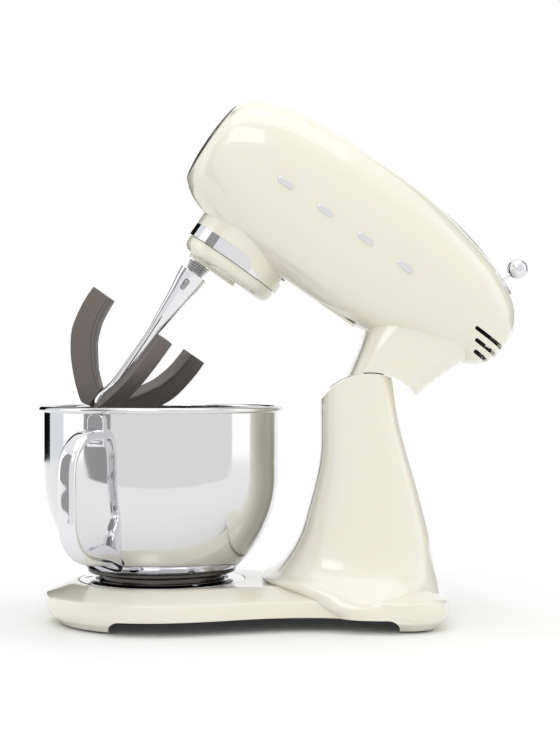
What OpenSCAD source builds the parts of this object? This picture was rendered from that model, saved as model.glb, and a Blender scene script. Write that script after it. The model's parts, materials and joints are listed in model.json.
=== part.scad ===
// Tilt-head stand mixer, head locked open, with its bowl and flexible-edge beater.
// Everything is worked out about the bowl axis (x = 0), the plane of symmetry (y = 0)
// and the counter (z = 0), with the front of the mixer towards -X. The whole is then
// moved so that the middle of its footprint stands on the origin.
// Head parts are drawn with the head closed, measured from the hinge pin.

/* [Stand] */
// Distance from the bowl axis back to the hinge pin
hinge_x = 187; // [170:1:230]
// Height of the hinge pin above the counter
hinge_z = 174; // [165:1:215]
// Radius of the rounded top of the column, about the hinge pin
cap_r = 50.5; // [46:0.5:54]
// Width of the column at its top
column_w = 108; // [96:1:124]
// Radius of the round front end of the base
base_front_r = 105; // [98:1:126]
// Width of the base at its narrowest, in front of the column
base_waist_w = 151; // [130:1:180]
// Width of the base at its rear end
base_rear_w = 182; // [170:1:220]
// How far the base runs back behind the hinge pin
base_tail = 68; // [60:1:82]
// Wall thickness of the stand casting
stand_wall = 5; // [4:0.5:7]
// Height of the top of the base under the bowl
base_top_z = 37.8; // [34:0.5:45]

/* [Head] */
// Angle of the head when it is locked open
open_angle = 35; // [0:1:38]
// Greatest width of the head
head_w = 128; // [116:1:154]
// Wall thickness of the head shell
head_wall = 3; // [2.5:0.25:4]
// Radius of the round nose that holds the planetary drive
nose_r = 47.9; // [46:0.1:50]
// Radius of the opening round the front cover
front_cover_r = 40; // [36:0.5:42]
// Width of the speed scale plate
scale_w = 22; // [16:1:30]
// Travel of the speed lever along its scale, in degrees about the centre of the scale
lever_travel = 15; // [8:1:16]
// Radius of the ball on the speed lever
ball_r = 9.4; // [7:0.2:12]
// Radius of the release button
button_r = 16; // [12:0.5:16.5]
// Travel of the release button
button_travel = 3.5; // [2:0.5:4]

/* [Hinge] */
// Radius of the hinge pin
hinge_pin_r = 6; // [5:0.5:8]
// Width of the tongue of the neck that turns on the pin
tongue_w = 30; // [24:1:36]
// Running clearance on the radius of the pin
running_gap = 0.05; // [0.02:0.01:0.09]

/* [Drive] */
// Radius of the planetary hub
hub_r = 46; // [44:0.5:46.5]
// Distance of the tool shaft from the axis of the hub
orbit_r = 24; // [20:2:24]
// Module of the planetary gears
planet_module = 1; // [1:0.1:1]
// Module of the reduction gears
gear_module = 1.25; // [1:0.05:1.3]
// Radius of the motor
motor_r = 40; // [34:1:42]
// Height of the motor
motor_h = 54; // [46:1:62]

/* [Bowl] */
// Outer radius of the bowl wall
bowl_r = 106.5; // [104:0.5:116]
// Height of the bowl rim above the counter
bowl_rim_z = 195.4; // [188:0.2:200]
// Thickness of the bowl sheet
bowl_wall = 1.2; // [0.8:0.1:2]
// Radius of the wire edge rolled into the rim
rim_wire_r = 2.7; // [2:0.1:3]
// Radius of the curve between the wall and the floor
bowl_curve_r = 115; // [100:1:118]
// Radius of the foot of the bowl
foot_r = 56.5; // [50:0.5:60]
// Angle of the handle, from the near side towards the front
handle_angle = 27; // [0:1:60]
// Width of the handle
handle_w = 17; // [12:1:24]
// How far the handle stands out from the bowl wall
handle_reach = 48.5; // [42:0.5:60]

/* [Beater] */
// Radius from the tool shaft to the outside of an arm
beater_r = 70; // [56:1:72]
// Thickness of an arm
arm_t = 13; // [8:1:16]
// Radius of the tool shaft
tool_shaft_r = 6; // [5:0.5:6.5]
// How far the beater is pushed up to let it go
tool_lift = 5; // [3:0.5:6]

/* [Hidden] */
$fn = 48;

// ---- colours ----
cream = [0.94, 0.93, 0.87];
chrome = [0.83, 0.84, 0.86];
steel = [0.75, 0.76, 0.78];
dark = [0.13, 0.13, 0.13];
silicone = [0.4, 0.38, 0.36];
alloy = [0.68, 0.69, 0.7];
brass = [0.8, 0.66, 0.35];
copper = [0.72, 0.43, 0.26];

// ---- helpers ----
function signed_pow(v, p) = sign(v) * pow(abs(v), p);
// Smooth curve through rows of numbers: a point between rows i and i + 1, at t from 0 to 1.
function row(rows, i) = rows[max(0, min(len(rows) - 1, i))];
function between(rows, i, t) =
    let (a = row(rows, i - 1), b = row(rows, i), c = row(rows, i + 1), d = row(rows, i + 2))
    0.5 * (2 * b + (c - a) * t + (2 * a - 5 * b + 4 * c - d) * t * t
        + (3 * b - a - 3 * c + d) * t * t * t);
function smooth_rows(rows, steps) = [
    for (i = [0:len(rows) - 2], k = [0:steps - 1]) between(rows, i, k / steps),
    rows[len(rows) - 1]
];
function arc(centre, r, from, to, steps) = [
    for (i = [0:steps])
        let (a = from + (to - from) * i / steps)
            centre + r * [cos(a), sin(a)]
];
// A closed solid through rings that each have the same number of points.
module skin(rings) {
    m = len(rings[0]);
    last = len(rings) - 1;
    polyhedron(
        points = [for (ring = rings, p = ring) p],
        faces = concat(
            [[for (i = [0:m - 1]) i]],
            [for (k = [0:last - 1], i = [0:m - 1]) [k * m + i, (k + 1) * m + i, k * m + (i + 1) % m]],
            [for (k = [0:last - 1], i = [0:m - 1])
                [(k + 1) * m + i, (k + 1) * m + (i + 1) % m, k * m + (i + 1) % m]],
            [[for (i = [m - 1:-1:0]) last * m + i]]
        )
    );
}
// Turns what is drawn along Z so that it lies along Y, centred.
module along_y(w) {
    rotate([90, 0, 0]) linear_extrude(w, center = true) children();
}
module rod_y(r, from, to) {
    translate([0, to, 0]) rotate([90, 0, 0]) cylinder(r = r, h = to - from);
}
module rod_x(r, from, to) {
    translate([from, 0, 0]) rotate([0, 90, 0]) cylinder(r = r, h = to - from);
}
module tube(r, hole, h) {
    difference() {
        cylinder(r = r, h = h);
        translate([0, 0, -1]) cylinder(r = hole, h = h + 2);
    }
}
module both_sides() {
    children();
    mirror([0, 1, 0]) children();
}

// ---- placing ----
x_low = -bowl_r - 4.6;
x_high = hinge_x + 143.7;
y_low = -cos(handle_angle) * (bowl_r + handle_reach) - sin(handle_angle) * handle_w / 2;
y_high = bowl_r + 4.6;
middle = [-(x_low + x_high) / 2, -(y_low + y_high) / 2, 0];
module stand_place() {
    translate(middle) children();
}
module head_place() {
    stand_place() translate([hinge_x, 0, hinge_z]) rotate([0, open_angle, 0]) children();
}

// ---- base and column ----
foot_z = 2;
rear_x = hinge_x + base_tail;
rear_corner_r = 36;
function base_half(x) =
    x < 140 ? base_waist_w / 2 + (base_front_r - base_waist_w / 2) * (1 + cos(180 * x / 140)) / 2
    : base_waist_w / 2 + (base_rear_w - base_waist_w) / 2
        * (1 - cos(180 * (x - 140) / (rear_x - rear_corner_r - 140))) / 2;
function base_side(inset) = concat(
    arc([0, 0], base_front_r - inset, 180, 90, 12),
    [for (i = [1:8]) let (x = (rear_x - rear_corner_r) * i / 8) [x, base_half(x) - inset]],
    arc([rear_x - rear_corner_r, base_rear_w / 2 - rear_corner_r], rear_corner_r - inset, 78, 0, 6)
);
function base_outline(inset) =
    let (side = base_side(inset))
    concat([for (p = side) [p.x, -p.y]], [for (i = [len(side) - 1:-1:1]) side[i]]);
// Height and inset of the base wall, from the underside up over the edge of the top.
base_steps = [
    [foot_z - 1, 13], [3.5, 10.5], [6, 7.5], [9, 3.2], [13, 0.4], [19, 0], [25, 0.4],
    [27.5, 1.8], [30.5, 8], [34.5, base_front_r * 0.17], [base_top_z - 0.4, 25],
    [base_top_z + 1, 32]
];
module base_body() {
    difference() {
        skin([for (s = base_steps) [for (p = base_outline(s[1])) [p.x, p.y, s[0]]]]);
        translate([-200, -200, base_top_z]) cube([600, 400, 20]);
        translate([-200, -200, foot_z - 20]) cube([600, 400, 20]);
    }
}
// Column: height, front and rear measured from the hinge pin, half width, squareness.
column_half = column_w / 2;
column_rows = [
    [14, -42, base_tail - 1, base_rear_w / 2 - 1, 3.4],
    [22, -58, base_tail - 1.6, base_rear_w / 2 - 2.5, 3.2],
    [30, -72, base_tail - 3, base_rear_w / 2 - 8, 3],
    [40, -96, base_tail - 4.5, base_rear_w / 2 - 17, 2.8],
    [48, -84, base_tail - 6.5, base_rear_w / 2 - 24, 2.9],
    [60, -73, base_tail - 9, column_half + 7, 3.1],
    [80, -61.5, base_tail - 12.5, column_half + 3, 3.4],
    [105, -54, base_tail - 19, column_half + 1, 3.7],
    [130, -47.5, base_tail - 26, column_half, 4],
    [155, -43.6, base_tail - 33.5, column_half, 4.2],
    [185, -43.4, base_tail - 41, column_half, 4.2],
    [226, -43.4, base_tail - 47.5, column_half, 4.2]
];
function column_ring(r, inset, m) = [
    for (i = [0:m - 1])
        let (
            a = 360 * i / m,
            half_x = (r[2] - r[1]) / 2 - inset,
            mid = hinge_x + (r[1] + r[2]) / 2,
            z = r[0] <= 48 ? r[0] : 48 + (r[0] - 48) * (hinge_z + cap_r - 48) / 176.5
        )
        [mid + half_x * signed_pow(cos(a), 2 / r[4]), (r[3] - inset) * signed_pow(sin(a), 2 / r[4]), z]
];
module column_body(inset, m, steps) {
    skin([for (r = smooth_rows(column_rows, steps)) column_ring(r, inset, m)]);
}
module cap_limit(r) {
    translate([hinge_x, 0, hinge_z]) union() {
        rod_y(r, -100, 100);
        translate([-150, -100, -hinge_z - 10]) cube([300, 200, hinge_z + 10]);
    }
}
module sector(r, from, to, w) {
    along_y(w) polygon(concat([[0, 0]], arc([0, 0], r, from, to, 10)));
}
cheek_in = tongue_w / 2 + 4;
cheek_out = cheek_in + 8;
tongue_angle = 119;
web_half = 9;
slot_spread = 12.5;
foot_spots = [[-56, 56], [-56, -56], [rear_x - 26, 62], [rear_x - 26, -62]];
foot_pad_r = 8;
lock_plate_r = foot_r + 19.1;
lock_recess_z = 34;
lock_screw_r = foot_r + 12;
cover_z = 13.4;
cover_t = 1.6;
cover_inset = 16;
cover_spots = [for (x = [20, 125, 205], s = [-1, 1]) [x, s * (base_half(x) - cover_inset - 7)]];
gland_z = 26;
module base_cavity() {
    difference() {
        translate([0, 0, -1]) linear_extrude(cover_z + 1.05) polygon(base_outline(cover_inset));
        for (s = foot_spots) translate([s.x, s.y, -2]) cylinder(r = foot_pad_r + 3, h = 40);
    }
    difference() {
        translate([0, 0, cover_z]) linear_extrude(lock_recess_z - 4 - cover_z)
            polygon(base_outline(cover_inset + 5));
        for (s = foot_spots) translate([s.x, s.y, -2]) cylinder(r = foot_pad_r + 3, h = 40);
        for (s = cover_spots) translate([s.x, s.y, -2]) cylinder(r = 5, h = 40);
        for (a = [60, 180, 300]) translate([lock_screw_r * cos(a), lock_screw_r * sin(a), 0])
            cylinder(r = 4.5, h = 40);
    }
}
module column_cavity() {
    difference() {
        intersection() {
            column_body(stand_wall + 1, 24, 1);
            cap_limit(cap_r - stand_wall);
            translate([0, -100, 28]) cube([300, 200, 300]);
        }
        both_sides() translate([hinge_x - 60, cheek_in, hinge_z - 34])
            cube([120, cheek_out - cheek_in, 120]);
    }
}
module side_arches() {
    // the skirt is raised between the front and rear feet
    along_y(260) polygon(concat(
        [[-40, -1]], arc([-30, 2.5], 10, 180, 90, 4),
        [[90, 13.5]], arc([rear_x - 54, 2.5], 10, 90, 0, 4), [[rear_x - 44, -1]]
    ));
}
module stand_casting() {
    color(cream) stand_place() difference() {
        union() {
            base_body();
            intersection() {
                column_body(0, 40, 2);
                cap_limit(cap_r);
            }
        }
        base_cavity();
        column_cavity();
        side_arches();
        translate([hinge_x, 0, hinge_z]) {
            sector(70, tongue_angle - open_angle - slot_spread, tongue_angle + slot_spread, tongue_w + 2);
            rod_y(hinge_pin_r + 3, -cheek_out - 1, cheek_out + 1);
            sector(cap_r - stand_wall, 62, 148, 2 * cheek_in);
        }
        translate([0, 0, lock_recess_z]) cylinder(r = lock_plate_r + 0.3, h = 20);
        for (a = [60, 180, 300]) translate([lock_screw_r * cos(a), lock_screw_r * sin(a), 22])
            cylinder(r = 1.9, h = 20);
        for (s = foot_spots) translate([s.x, s.y, -1]) cylinder(r = foot_pad_r, h = 4 + 1);
        for (s = cover_spots) translate([s.x, s.y, 0]) cylinder(r = 1.5, h = 24);
        translate([0, 0, gland_z]) rod_x(7.1, rear_x - 30, rear_x + 10);
    }
}
module base_cover() {
    color(dark) stand_place() difference() {
        translate([0, 0, cover_z - cover_t]) linear_extrude(cover_t) polygon(base_outline(cover_inset + 0.3));
        for (s = foot_spots) translate([s.x, s.y, 0]) cylinder(r = foot_pad_r + 3.4, h = 40);
        for (s = cover_spots) translate([s.x, s.y, 0]) cylinder(r = 1.5, h = 24);
    }
}
module cover_screws() {
    color(steel) stand_place() for (s = cover_spots) translate([s.x, s.y, cover_z - cover_t - 1.6]) {
        cylinder(r = 3, h = 1.6);
        cylinder(r = 1.5, h = 11);
    }
}
module rubber_feet() {
    color(dark) stand_place() for (s = foot_spots) translate([s.x, s.y, 0])
        rotate_extrude() polygon([[0, 0], [foot_pad_r - 1.2, 0], [foot_pad_r, 0.8], [foot_pad_r, 4], [0, 4]]);
}
module bowl_lock_plate() {
    color(chrome) stand_place() difference() {
        rotate_extrude($fn = 96) polygon([
            [foot_r + 3.5, lock_recess_z], [lock_plate_r, lock_recess_z], [lock_plate_r, base_top_z - 0.6],
            [lock_plate_r - 1, base_top_z + 0.1], [foot_r + 6, base_top_z + 1.4],
            [foot_r + 4.2, base_top_z + 1.2], [foot_r + 3.5, base_top_z + 0.4]
        ]);
        for (a = [60, 180, 300]) translate([lock_screw_r * cos(a), lock_screw_r * sin(a), 0]) {
            cylinder(r = 2.1, h = 60);
            translate([0, 0, base_top_z - 1.6]) cylinder(r = 3.6, h = 10);
        }
    }
}
module lock_plate_screws() {
    color(steel) stand_place() for (a = [60, 180, 300])
        translate([lock_screw_r * cos(a), lock_screw_r * sin(a), 0]) {
            translate([0, 0, base_top_z - 1.6]) cylinder(r = 3.4, h = 1.6);
            translate([0, 0, 24]) cylinder(r = 1.9, h = base_top_z - 25);
        }
}
module hinge_pin() {
    color(steel) stand_place() translate([hinge_x, 0, hinge_z]) union() {
        rod_y(hinge_pin_r, -cheek_out - 1.5, cheek_out + 1.5);
        rod_y(hinge_pin_r + 2.5, cheek_out + 1.5, cheek_out + 4);
    }
}
module hinge_bushes() {
    color(brass) stand_place() translate([hinge_x, 0, hinge_z]) both_sides() difference() {
        rod_y(hinge_pin_r + 3, cheek_in, cheek_out);
        rod_y(hinge_pin_r, cheek_in - 1, cheek_out + 1);
    }
}
module hinge_washers() {
    color(steel) stand_place() translate([hinge_x, 0, hinge_z]) both_sides() difference() {
        rod_y(hinge_pin_r + 7, tongue_w / 2 + 0.3, cheek_in);
        rod_y(hinge_pin_r, tongue_w / 2, cheek_in + 1);
    }
}
module cord_gland() {
    color(dark) stand_place() translate([0, 0, gland_z]) difference() {
        union() {
            rod_x(7, rear_x - 28, rear_x - 3);
            rod_x(9.5, rear_x - 24, rear_x - cover_inset - 5);
        }
        rod_x(3.6, rear_x - 40, rear_x + 10);
    }
}
module terminal_block() {
    color(dark) stand_place() translate([hinge_x + 4, -16, 45]) difference() {
        cube([24, 32, 14]);
        for (k = [0:2]) translate([12, 6 + 10 * k, 5]) cylinder(r = 3, h = 20);
    }
}

// ---- head shell ----
// Position along the head as a share of the distance to the bowl axis and an offset,
// then the top, the underside, the half width and the squareness of the section.
head_half = head_w / 2;
head_mid_z = 132.7;
head_rows = [
    [1, -77, head_mid_z + front_cover_r + 0.8, head_mid_z - front_cover_r - 0.8, front_cover_r + 1.8, 2.1],
    [1, -74.4, 178, 88.2, 48, 2.2],
    [1, -69, 184, 84, head_half - 10, 2.35],
    [1, -59, 190, 79, head_half - 6, 2.5],
    [1, -32, 198.4, 71.5, head_half - 2.2, 2.8],
    [1, 5, 202.8, 66.6, head_half - 0.5, 3],
    [0.75, 2, 204.4, 65, head_half, 3.1],
    [0.5, 4, 204, 65.8, head_half - 0.3, 3.1],
    [0.25, 0, 199, 72.6, head_half - 3, 3],
    [0, 0, 188.9, 86.4, head_half - 9, 2.8],
    [0, 20, 182.4, 93, head_half - 14.5, 2.6],
    [0, 36.5, 173.8, 98, head_half - 21, 2.5],
    [0, 46, 166.5, 103.6, head_half - 27, 2.4],
    [0, 52.6, 158, 110.5, head_half - 34, 2.3],
    [0, 56, 152.6, 118.4, head_half - 44, 2.1]
];
function head_ring(r, inset, m) = [
    for (i = [0:m - 1])
        let (
            a = 360 * (i + 0.5) / m,
            half_z = (r[2] - r[3]) / 2 - inset,
            mid = (r[2] + r[3]) / 2
        )
        [r[1] - r[0] * hinge_x, (r[4] - inset) * signed_pow(cos(a), 2 / r[5]),
            mid + half_z * signed_pow(sin(a), 2 / r[5])]
];
module head_solid(inset, m, steps) {
    rows = smooth_rows(head_rows, steps);
    skin([for (r = rows) head_ring(r, inset, m)]);
}
// The same form seen from inside: the wall is taken off the ends as well.
module head_room() {
    first = 2;
    last = len(head_rows) - 2;
    rows = [for (i = [first:last]) head_rows[i]];
    skin([for (r = rows) head_ring(r, head_wall, 24)]);
}
function head_half_at(x) =
    let (rows = smooth_rows(head_rows, 4))
    lookup(x, [for (r = rows) [r[1] - r[0] * hinge_x, r[4]]]);

nose_x = -hinge_x;
nose_z = 52.9;
band_top_z = 64.8;
nose_inner_r = nose_r - 3.4;
module nose_opening() {
    // side view of the arched window that shows the bright band
    translate([nose_x, 0, 0]) along_y(120) polygon(concat(
        [[-60, nose_z - 1], [-60, band_top_z]],
        arc([6, nose_z], band_top_z - nose_z, 90, 45, 4),
        [[22, nose_z + 5.6], [27.5, nose_z + 2.2], [29.5, nose_z - 1]]
    ));
}
scale_centre = [-88, -91];
scale_r = 293.4;
lever_angle = 68;
module scale_ring(r, t, w, from, to) {
    translate([scale_centre.x, 0, scale_centre.y]) along_y(w) polygon(concat(
        arc([0, 0], r, from, to, 12), arc([0, 0], r + t, to, from, 12)
    ));
}
bottom_cover_x = [-hinge_x * 0.5 - 48, -64];
bottom_cover_w = 64;
trim_spots = [-0.99, -0.765, -0.535, -0.31];
module trim_bar(x, grow) {
    half = head_half_at(x);
    translate([x, half - 1.4, 135]) rotate([-90, 0, 0]) linear_extrude(2.6 + grow) {
        square([11 + 2 * grow, 5 + 2 * grow], center = true);
        for (s = [-1, 1]) translate([s * 5.5, 0]) circle(r = 2.5 + grow);
    }
}
vent_rows = [[128.6, 23.7, 52], [120.1, 30, 52.4], [111.7, 35.6, 50.4]];
vent_h = 3.6;
module vent_slots() {
    for (v = vent_rows) both_sides() translate([v[1] + vent_h / 2, 12, v[0] - vent_h / 2])
        cube([v[2] - v[1] - vent_h / 2, 60, vent_h]);
    for (v = vent_rows) both_sides() translate([v[1] + vent_h / 2, 0, v[0]]) rod_y(vent_h / 2, 12, 72);
}
button_z = 135.5;
button_x = 56;
module head_shell() {
    color(cream) head_place() difference() {
        union() {
            head_solid(0, 40, 2);
            translate([nose_x, 0, nose_z]) cylinder(r = nose_r, h = 40, $fn = 96);
        }
        head_room();
        translate([nose_x, 0, nose_z - 1]) cylinder(r = nose_inner_r, h = 42, $fn = 96);
        difference() {
            translate([nose_x, 0, nose_z - 1]) cylinder(r = nose_r + 4, h = band_top_z - nose_z + 1.05);
            translate([nose_x, 0, nose_z - 2]) cylinder(r = nose_inner_r - 1, h = 60);
            translate([nose_x + 29.5, -60, nose_z - 3]) cube([60, 120, 60]);
            difference() {
                translate([nose_x - 60, -60, nose_z - 3]) cube([120, 120, 60]);
                nose_opening();
            }
        }
        translate([0, 0, head_mid_z]) rod_x(front_cover_r - 2.9, nose_x - 100, nose_x - 50);
        translate([0, 0, button_z]) rod_x(button_r + 0.4, 40, 80);
        scale_ring(scale_r, 12, scale_w + 0.4, lever_angle - 3.2, lever_angle + lever_travel + 4.2);
        scale_ring(scale_r - 30, 40, 5, lever_angle - 0.8, lever_angle + lever_travel + 0.8);
        vent_slots();
        translate([bottom_cover_x[0] - 0.3, -bottom_cover_w / 2 - 0.3, 50])
            cube([bottom_cover_x[1] - bottom_cover_x[0] + 0.6, bottom_cover_w + 0.6, 40]);
        for (f = trim_spots) both_sides() trim_bar(f * hinge_x, 0.05);
        for (s = neck_spots) translate([s.x, s.y, 60]) cylinder(r = 2.6, h = 60);
    }
}

// ---- neck ----
neck_gap = 1;
neck_rows = [
    [22, -41.5, 12, column_half - 1, 4.2],
    [30, -43.5, 14, column_half - 1, 4.2],
    [52, -48, 18.7, column_half - 1.5, 4],
    [73, -53.5, 25.5, column_half - 3, 3.6],
    [98, -56.5, 34.7, column_half - 6, 3.2],
    [118, -58, 42, column_half - 9, 3]
];
neck_spots = [[-32, 26], [-32, -26], [8, 26], [8, -26]];
function neck_ring(r, m) = [
    for (i = [0:m - 1])
        let (a = 360 * i / m, half_x = (r[2] - r[1]) / 2)
        [(r[1] + r[2]) / 2 + half_x * signed_pow(cos(a), 2 / r[4]), r[3] * signed_pow(sin(a), 2 / r[4]), r[0]]
];
module neck_casting() {
    color(cream) head_place() difference() {
        union() {
            difference() {
                skin([for (r = smooth_rows(neck_rows, 2)) neck_ring(r, 32)]);
                head_solid(-0.1, 40, 2);
                rod_y(cap_r + neck_gap, -100, 100);
                for (s = [-1, 1]) translate([-36, s * 31 - 12, 62]) cube([44, 24, 60]);
            }
            rod_y(hinge_pin_r + 10, -tongue_w / 2, tongue_w / 2);
            rotate([0, -tongue_angle, 0]) translate([hinge_pin_r + 4, 1 - tongue_w / 2, -web_half])
                cube([cap_r + neck_gap - hinge_pin_r, tongue_w - 2, 2 * web_half]);
        }
        rod_y(hinge_pin_r + running_gap, -tongue_w, tongue_w);
        for (s = neck_spots) translate([s.x, s.y, 56]) cylinder(r = 2, h = 60);
    }
}
module neck_bolts() {
    color(steel) head_place() for (s = neck_spots) translate([s.x, s.y, 0]) {
        translate([0, 0, 58]) cylinder(r = 2, h = 50);
        translate([0, 0, 104]) cylinder(r = 4.5, h = 4);
    }
}
module head_bottom_cover() {
    color(cream) head_place() difference() {
        translate([bottom_cover_x[0], -bottom_cover_w / 2, 67.6])
            cube([bottom_cover_x[1] - bottom_cover_x[0], bottom_cover_w, 2.4]);
        translate([nose_x, 0, 40]) cylinder(r = nose_r + 0.5, h = 60);
    }
}

// ---- front cover ----
cover_x = nose_x - 77;
dome_r = 130;
dome_h = 6;
module front_trim_ring() {
    color(chrome) head_place() translate([0, 0, head_mid_z]) difference() {
        translate([cover_x, 0, 0]) rotate([0, -90, 0]) rotate_extrude($fn = 96) polygon([
            [front_cover_r - 3, -6], [front_cover_r - 4, -6], [front_cover_r - 4, 1.2],
            [front_cover_r - 2, 2.2], [front_cover_r + 0.4, 1.4], [front_cover_r + 0.8, 0.05],
            [front_cover_r - 3, 0.05]
        ]);
    }
}
module front_cover() {
    color(cream) head_place() translate([cover_x, 0, head_mid_z]) rotate([0, -90, 0]) {
        rotate_extrude($fn = 96) polygon(concat(
            [[0, dome_h - 2.4], [front_cover_r - 12, dome_h - 3.6], [front_cover_r - 12, -8],
                [front_cover_r - 5.3, -8], [front_cover_r - 5.3, -0.8], [front_cover_r - 4.3, -0.8]],
            arc([0, dome_h - dome_r], dome_r, acos((front_cover_r - 4.3) / dome_r), 90, 8)
        ));
    }
}

// ---- speed control ----
module scale_plate() {
    color(chrome) head_place() difference() {
        scale_ring(scale_r, 0.8, scale_w, lever_angle - 3, lever_angle + lever_travel + 4);
        scale_ring(scale_r - 3, 6, 5, lever_angle - 0.8, lever_angle + lever_travel + 0.8);
    }
}
module lever_place() {
    head_place() translate([scale_centre.x, 0, scale_centre.y]) rotate([0, 90 - lever_angle, 0]) children();
}
module speed_lever() {
    color(chrome) lever_place() translate([0, 0, scale_r - 9]) cylinder(r = 1.9, h = 20);
}
module lever_ball() {
    color(chrome) lever_place() translate([0, 0, scale_r + 10 + ball_r - 1]) difference() {
        sphere(r = ball_r);
        translate([0, 0, -ball_r - 5]) cylinder(r = 1.9, h = ball_r);
    }
}
module lever_slider() {
    color(dark) lever_place() difference() {
        translate([-8, -8, scale_r - 14]) cube([16, 16, 5.5]);
        translate([0, 0, scale_r - 9]) cylinder(r = 1.9, h = 20);
    }
}
module speed_switch() {
    color(dark) head_place() difference() {
        scale_ring(scale_r - 26, 10, 18, lever_angle - 2, lever_angle + lever_travel + 2);
        scale_ring(scale_r - 20, 10, 10, lever_angle - 3, lever_angle + lever_travel + 3);
    }
}

// ---- trims and vents ----
module side_trim() {
    color(chrome) head_place() for (f = trim_spots) both_sides() trim_bar(f * hinge_x, 0);
}
module vent_baffles() {
    color(dark) head_place() both_sides() translate([21, 16, 110]) cube([22, 1.6, 22]);
}

// ---- release button ----
module release_button() {
    color(chrome) head_place() translate([0, 0, button_z]) union() {
        translate([button_x, 0, 0]) rotate([0, 90, 0]) rotate_extrude() polygon(concat(
            [[0, -4], [button_r, -4], [button_r, 0.8]], arc([0, 2.8 - 60], 60, 76, 90, 6)
        ));
    }
}
module button_rod() {
    color(steel) head_place() translate([0, 0, button_z]) rod_x(3, button_x - 34, button_x - 4);
}
module button_spring() {
    color(steel) head_place() translate([button_x - 14.5 - button_travel, 0, button_z]) rotate([0, 90, 0])
        tube(5.5, 4, 10);
}
module button_guide() {
    color(dark) head_place() difference() {
        translate([button_x - 20.5 - button_travel, -12, button_z - 12]) cube([5.8, 24, 24]);
        translate([0, 0, button_z]) rod_x(3.1, 0, 80);
    }
}

// ---- planetary drive ----
function involute(a) = tan(a) * 180 / PI - a;
// Flank of a gear tooth: angle from the middle of the tooth at each radius.
module gear_outline(teeth, m, add, ded, play) {
    pitch = m * teeth / 2;
    base = pitch * cos(20);
    root = pitch - ded * m;
    tip = pitch + add * m;
    half = 90 / teeth - play * 90 / (PI * pitch);
    radii = [root, max(base, root + 0.01), (max(base, root) + tip) / 2, tip];
    turn = [for (r = radii) half + involute(20) - (r > base ? involute(acos(base / r)) : 0)];
    polygon([
        for (k = [0:teeth - 1])
            for (i = [0:7])
                let (j = i < 4 ? i : 7 - i, a = 360 * k / teeth + (i < 4 ? -turn[j] : turn[j]))
                radii[j] * [cos(a), sin(a)]
    ]);
}
planet_teeth = 2 * (orbit_r / 2) / planet_module;
ring_teeth = 3 * planet_teeth;
ring_z = 56;
ring_h = 9;
hub_top_z = nose_z - 0.5;
hub_bottom_z = 39.2;
output_r = 8;
deck_z = 74;
deck_t = 6;
first_gear_z = 82;
second_gear_z = 92;
gear_h = 7;
plate_z = 101;
lay_teeth = 14;
main_teeth = 56;
lay_gear_teeth = 48;
pinion_teeth = 12;
lay_x = nose_x + gear_module * (lay_teeth + main_teeth) / 2;
motor_x = lay_x + gear_module * (lay_gear_teeth + pinion_teeth) / 2;
module nose_band() {
    color(chrome) head_place() intersection() {
        translate([nose_x, 0, nose_z]) tube(nose_r - 0.1, nose_inner_r + 0.2, band_top_z - nose_z - 0.1);
        nose_opening();
    }
}
module ring_gear() {
    color(steel) head_place() translate([nose_x, 0, ring_z]) difference() {
        cylinder(r = nose_inner_r, h = ring_h);
        translate([0, 0, -1]) linear_extrude(ring_h + 2)
            gear_outline(ring_teeth, planet_module, 1.2, 0.9, -0.25);
    }
}
// Ears that carry the two front posts.
module deck_ears(z) {
    translate([nose_x + 20, -37.2, z]) cube([14, 74.4, deck_t]);
}
module lower_deck() {
    color(alloy) head_place() difference() {
        union() {
            translate([nose_x, 0, deck_z]) cylinder(r = nose_inner_r - 0.4, h = deck_t);
            translate([nose_x, -32, deck_z]) cube([-nose_x - 76, 64, deck_t]);
            deck_ears(deck_z);
        }
        translate([nose_x, 0, 0]) cylinder(r = 15, h = 200);
        translate([lay_x, 0, 0]) cylinder(r = 9, h = 200);
        deck_holes();
    }
}
module motor_plate() {
    color(alloy) head_place() difference() {
        union() {
            translate([nose_x - 20, -32, plate_z]) cube([-nose_x + 20 - 62, 64, deck_t]);
            deck_ears(plate_z);
            translate([motor_x, 0, plate_z]) cylinder(r = motor_r + 2, h = deck_t);
        }
        translate([nose_x, 0, 0]) cylinder(r = 15, h = 200);
        translate([lay_x, 0, 0]) cylinder(r = 9, h = 200);
        translate([motor_x, 0, 0]) cylinder(r = 11, h = 200);
        deck_holes();
    }
}
deck_spots = [[nose_x + 27, 33], [nose_x + 27, -33], [-84, 27], [-84, -27]];
module deck_holes() {
    for (s = deck_spots) translate([s.x, s.y, 0]) cylinder(r = 2, h = 200);
}
module deck_posts() {
    color(steel) head_place() for (s = deck_spots) translate([s.x, s.y, 0]) {
        translate([0, 0, deck_z + deck_t]) cylinder(r = 4, h = plate_z - deck_z - deck_t);
        translate([0, 0, deck_z]) cylinder(r = 2, h = plate_z - deck_z + deck_t);
    }
}
module output_bearings() {
    color(steel) head_place() for (z = [deck_z, plate_z])
        translate([nose_x, 0, z]) tube(15, output_r, deck_t);
}
module layshaft_bearings() {
    color(steel) head_place() for (z = [deck_z, plate_z])
        translate([lay_x, 0, z]) tube(9, 4 + running_gap, deck_t);
}
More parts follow.
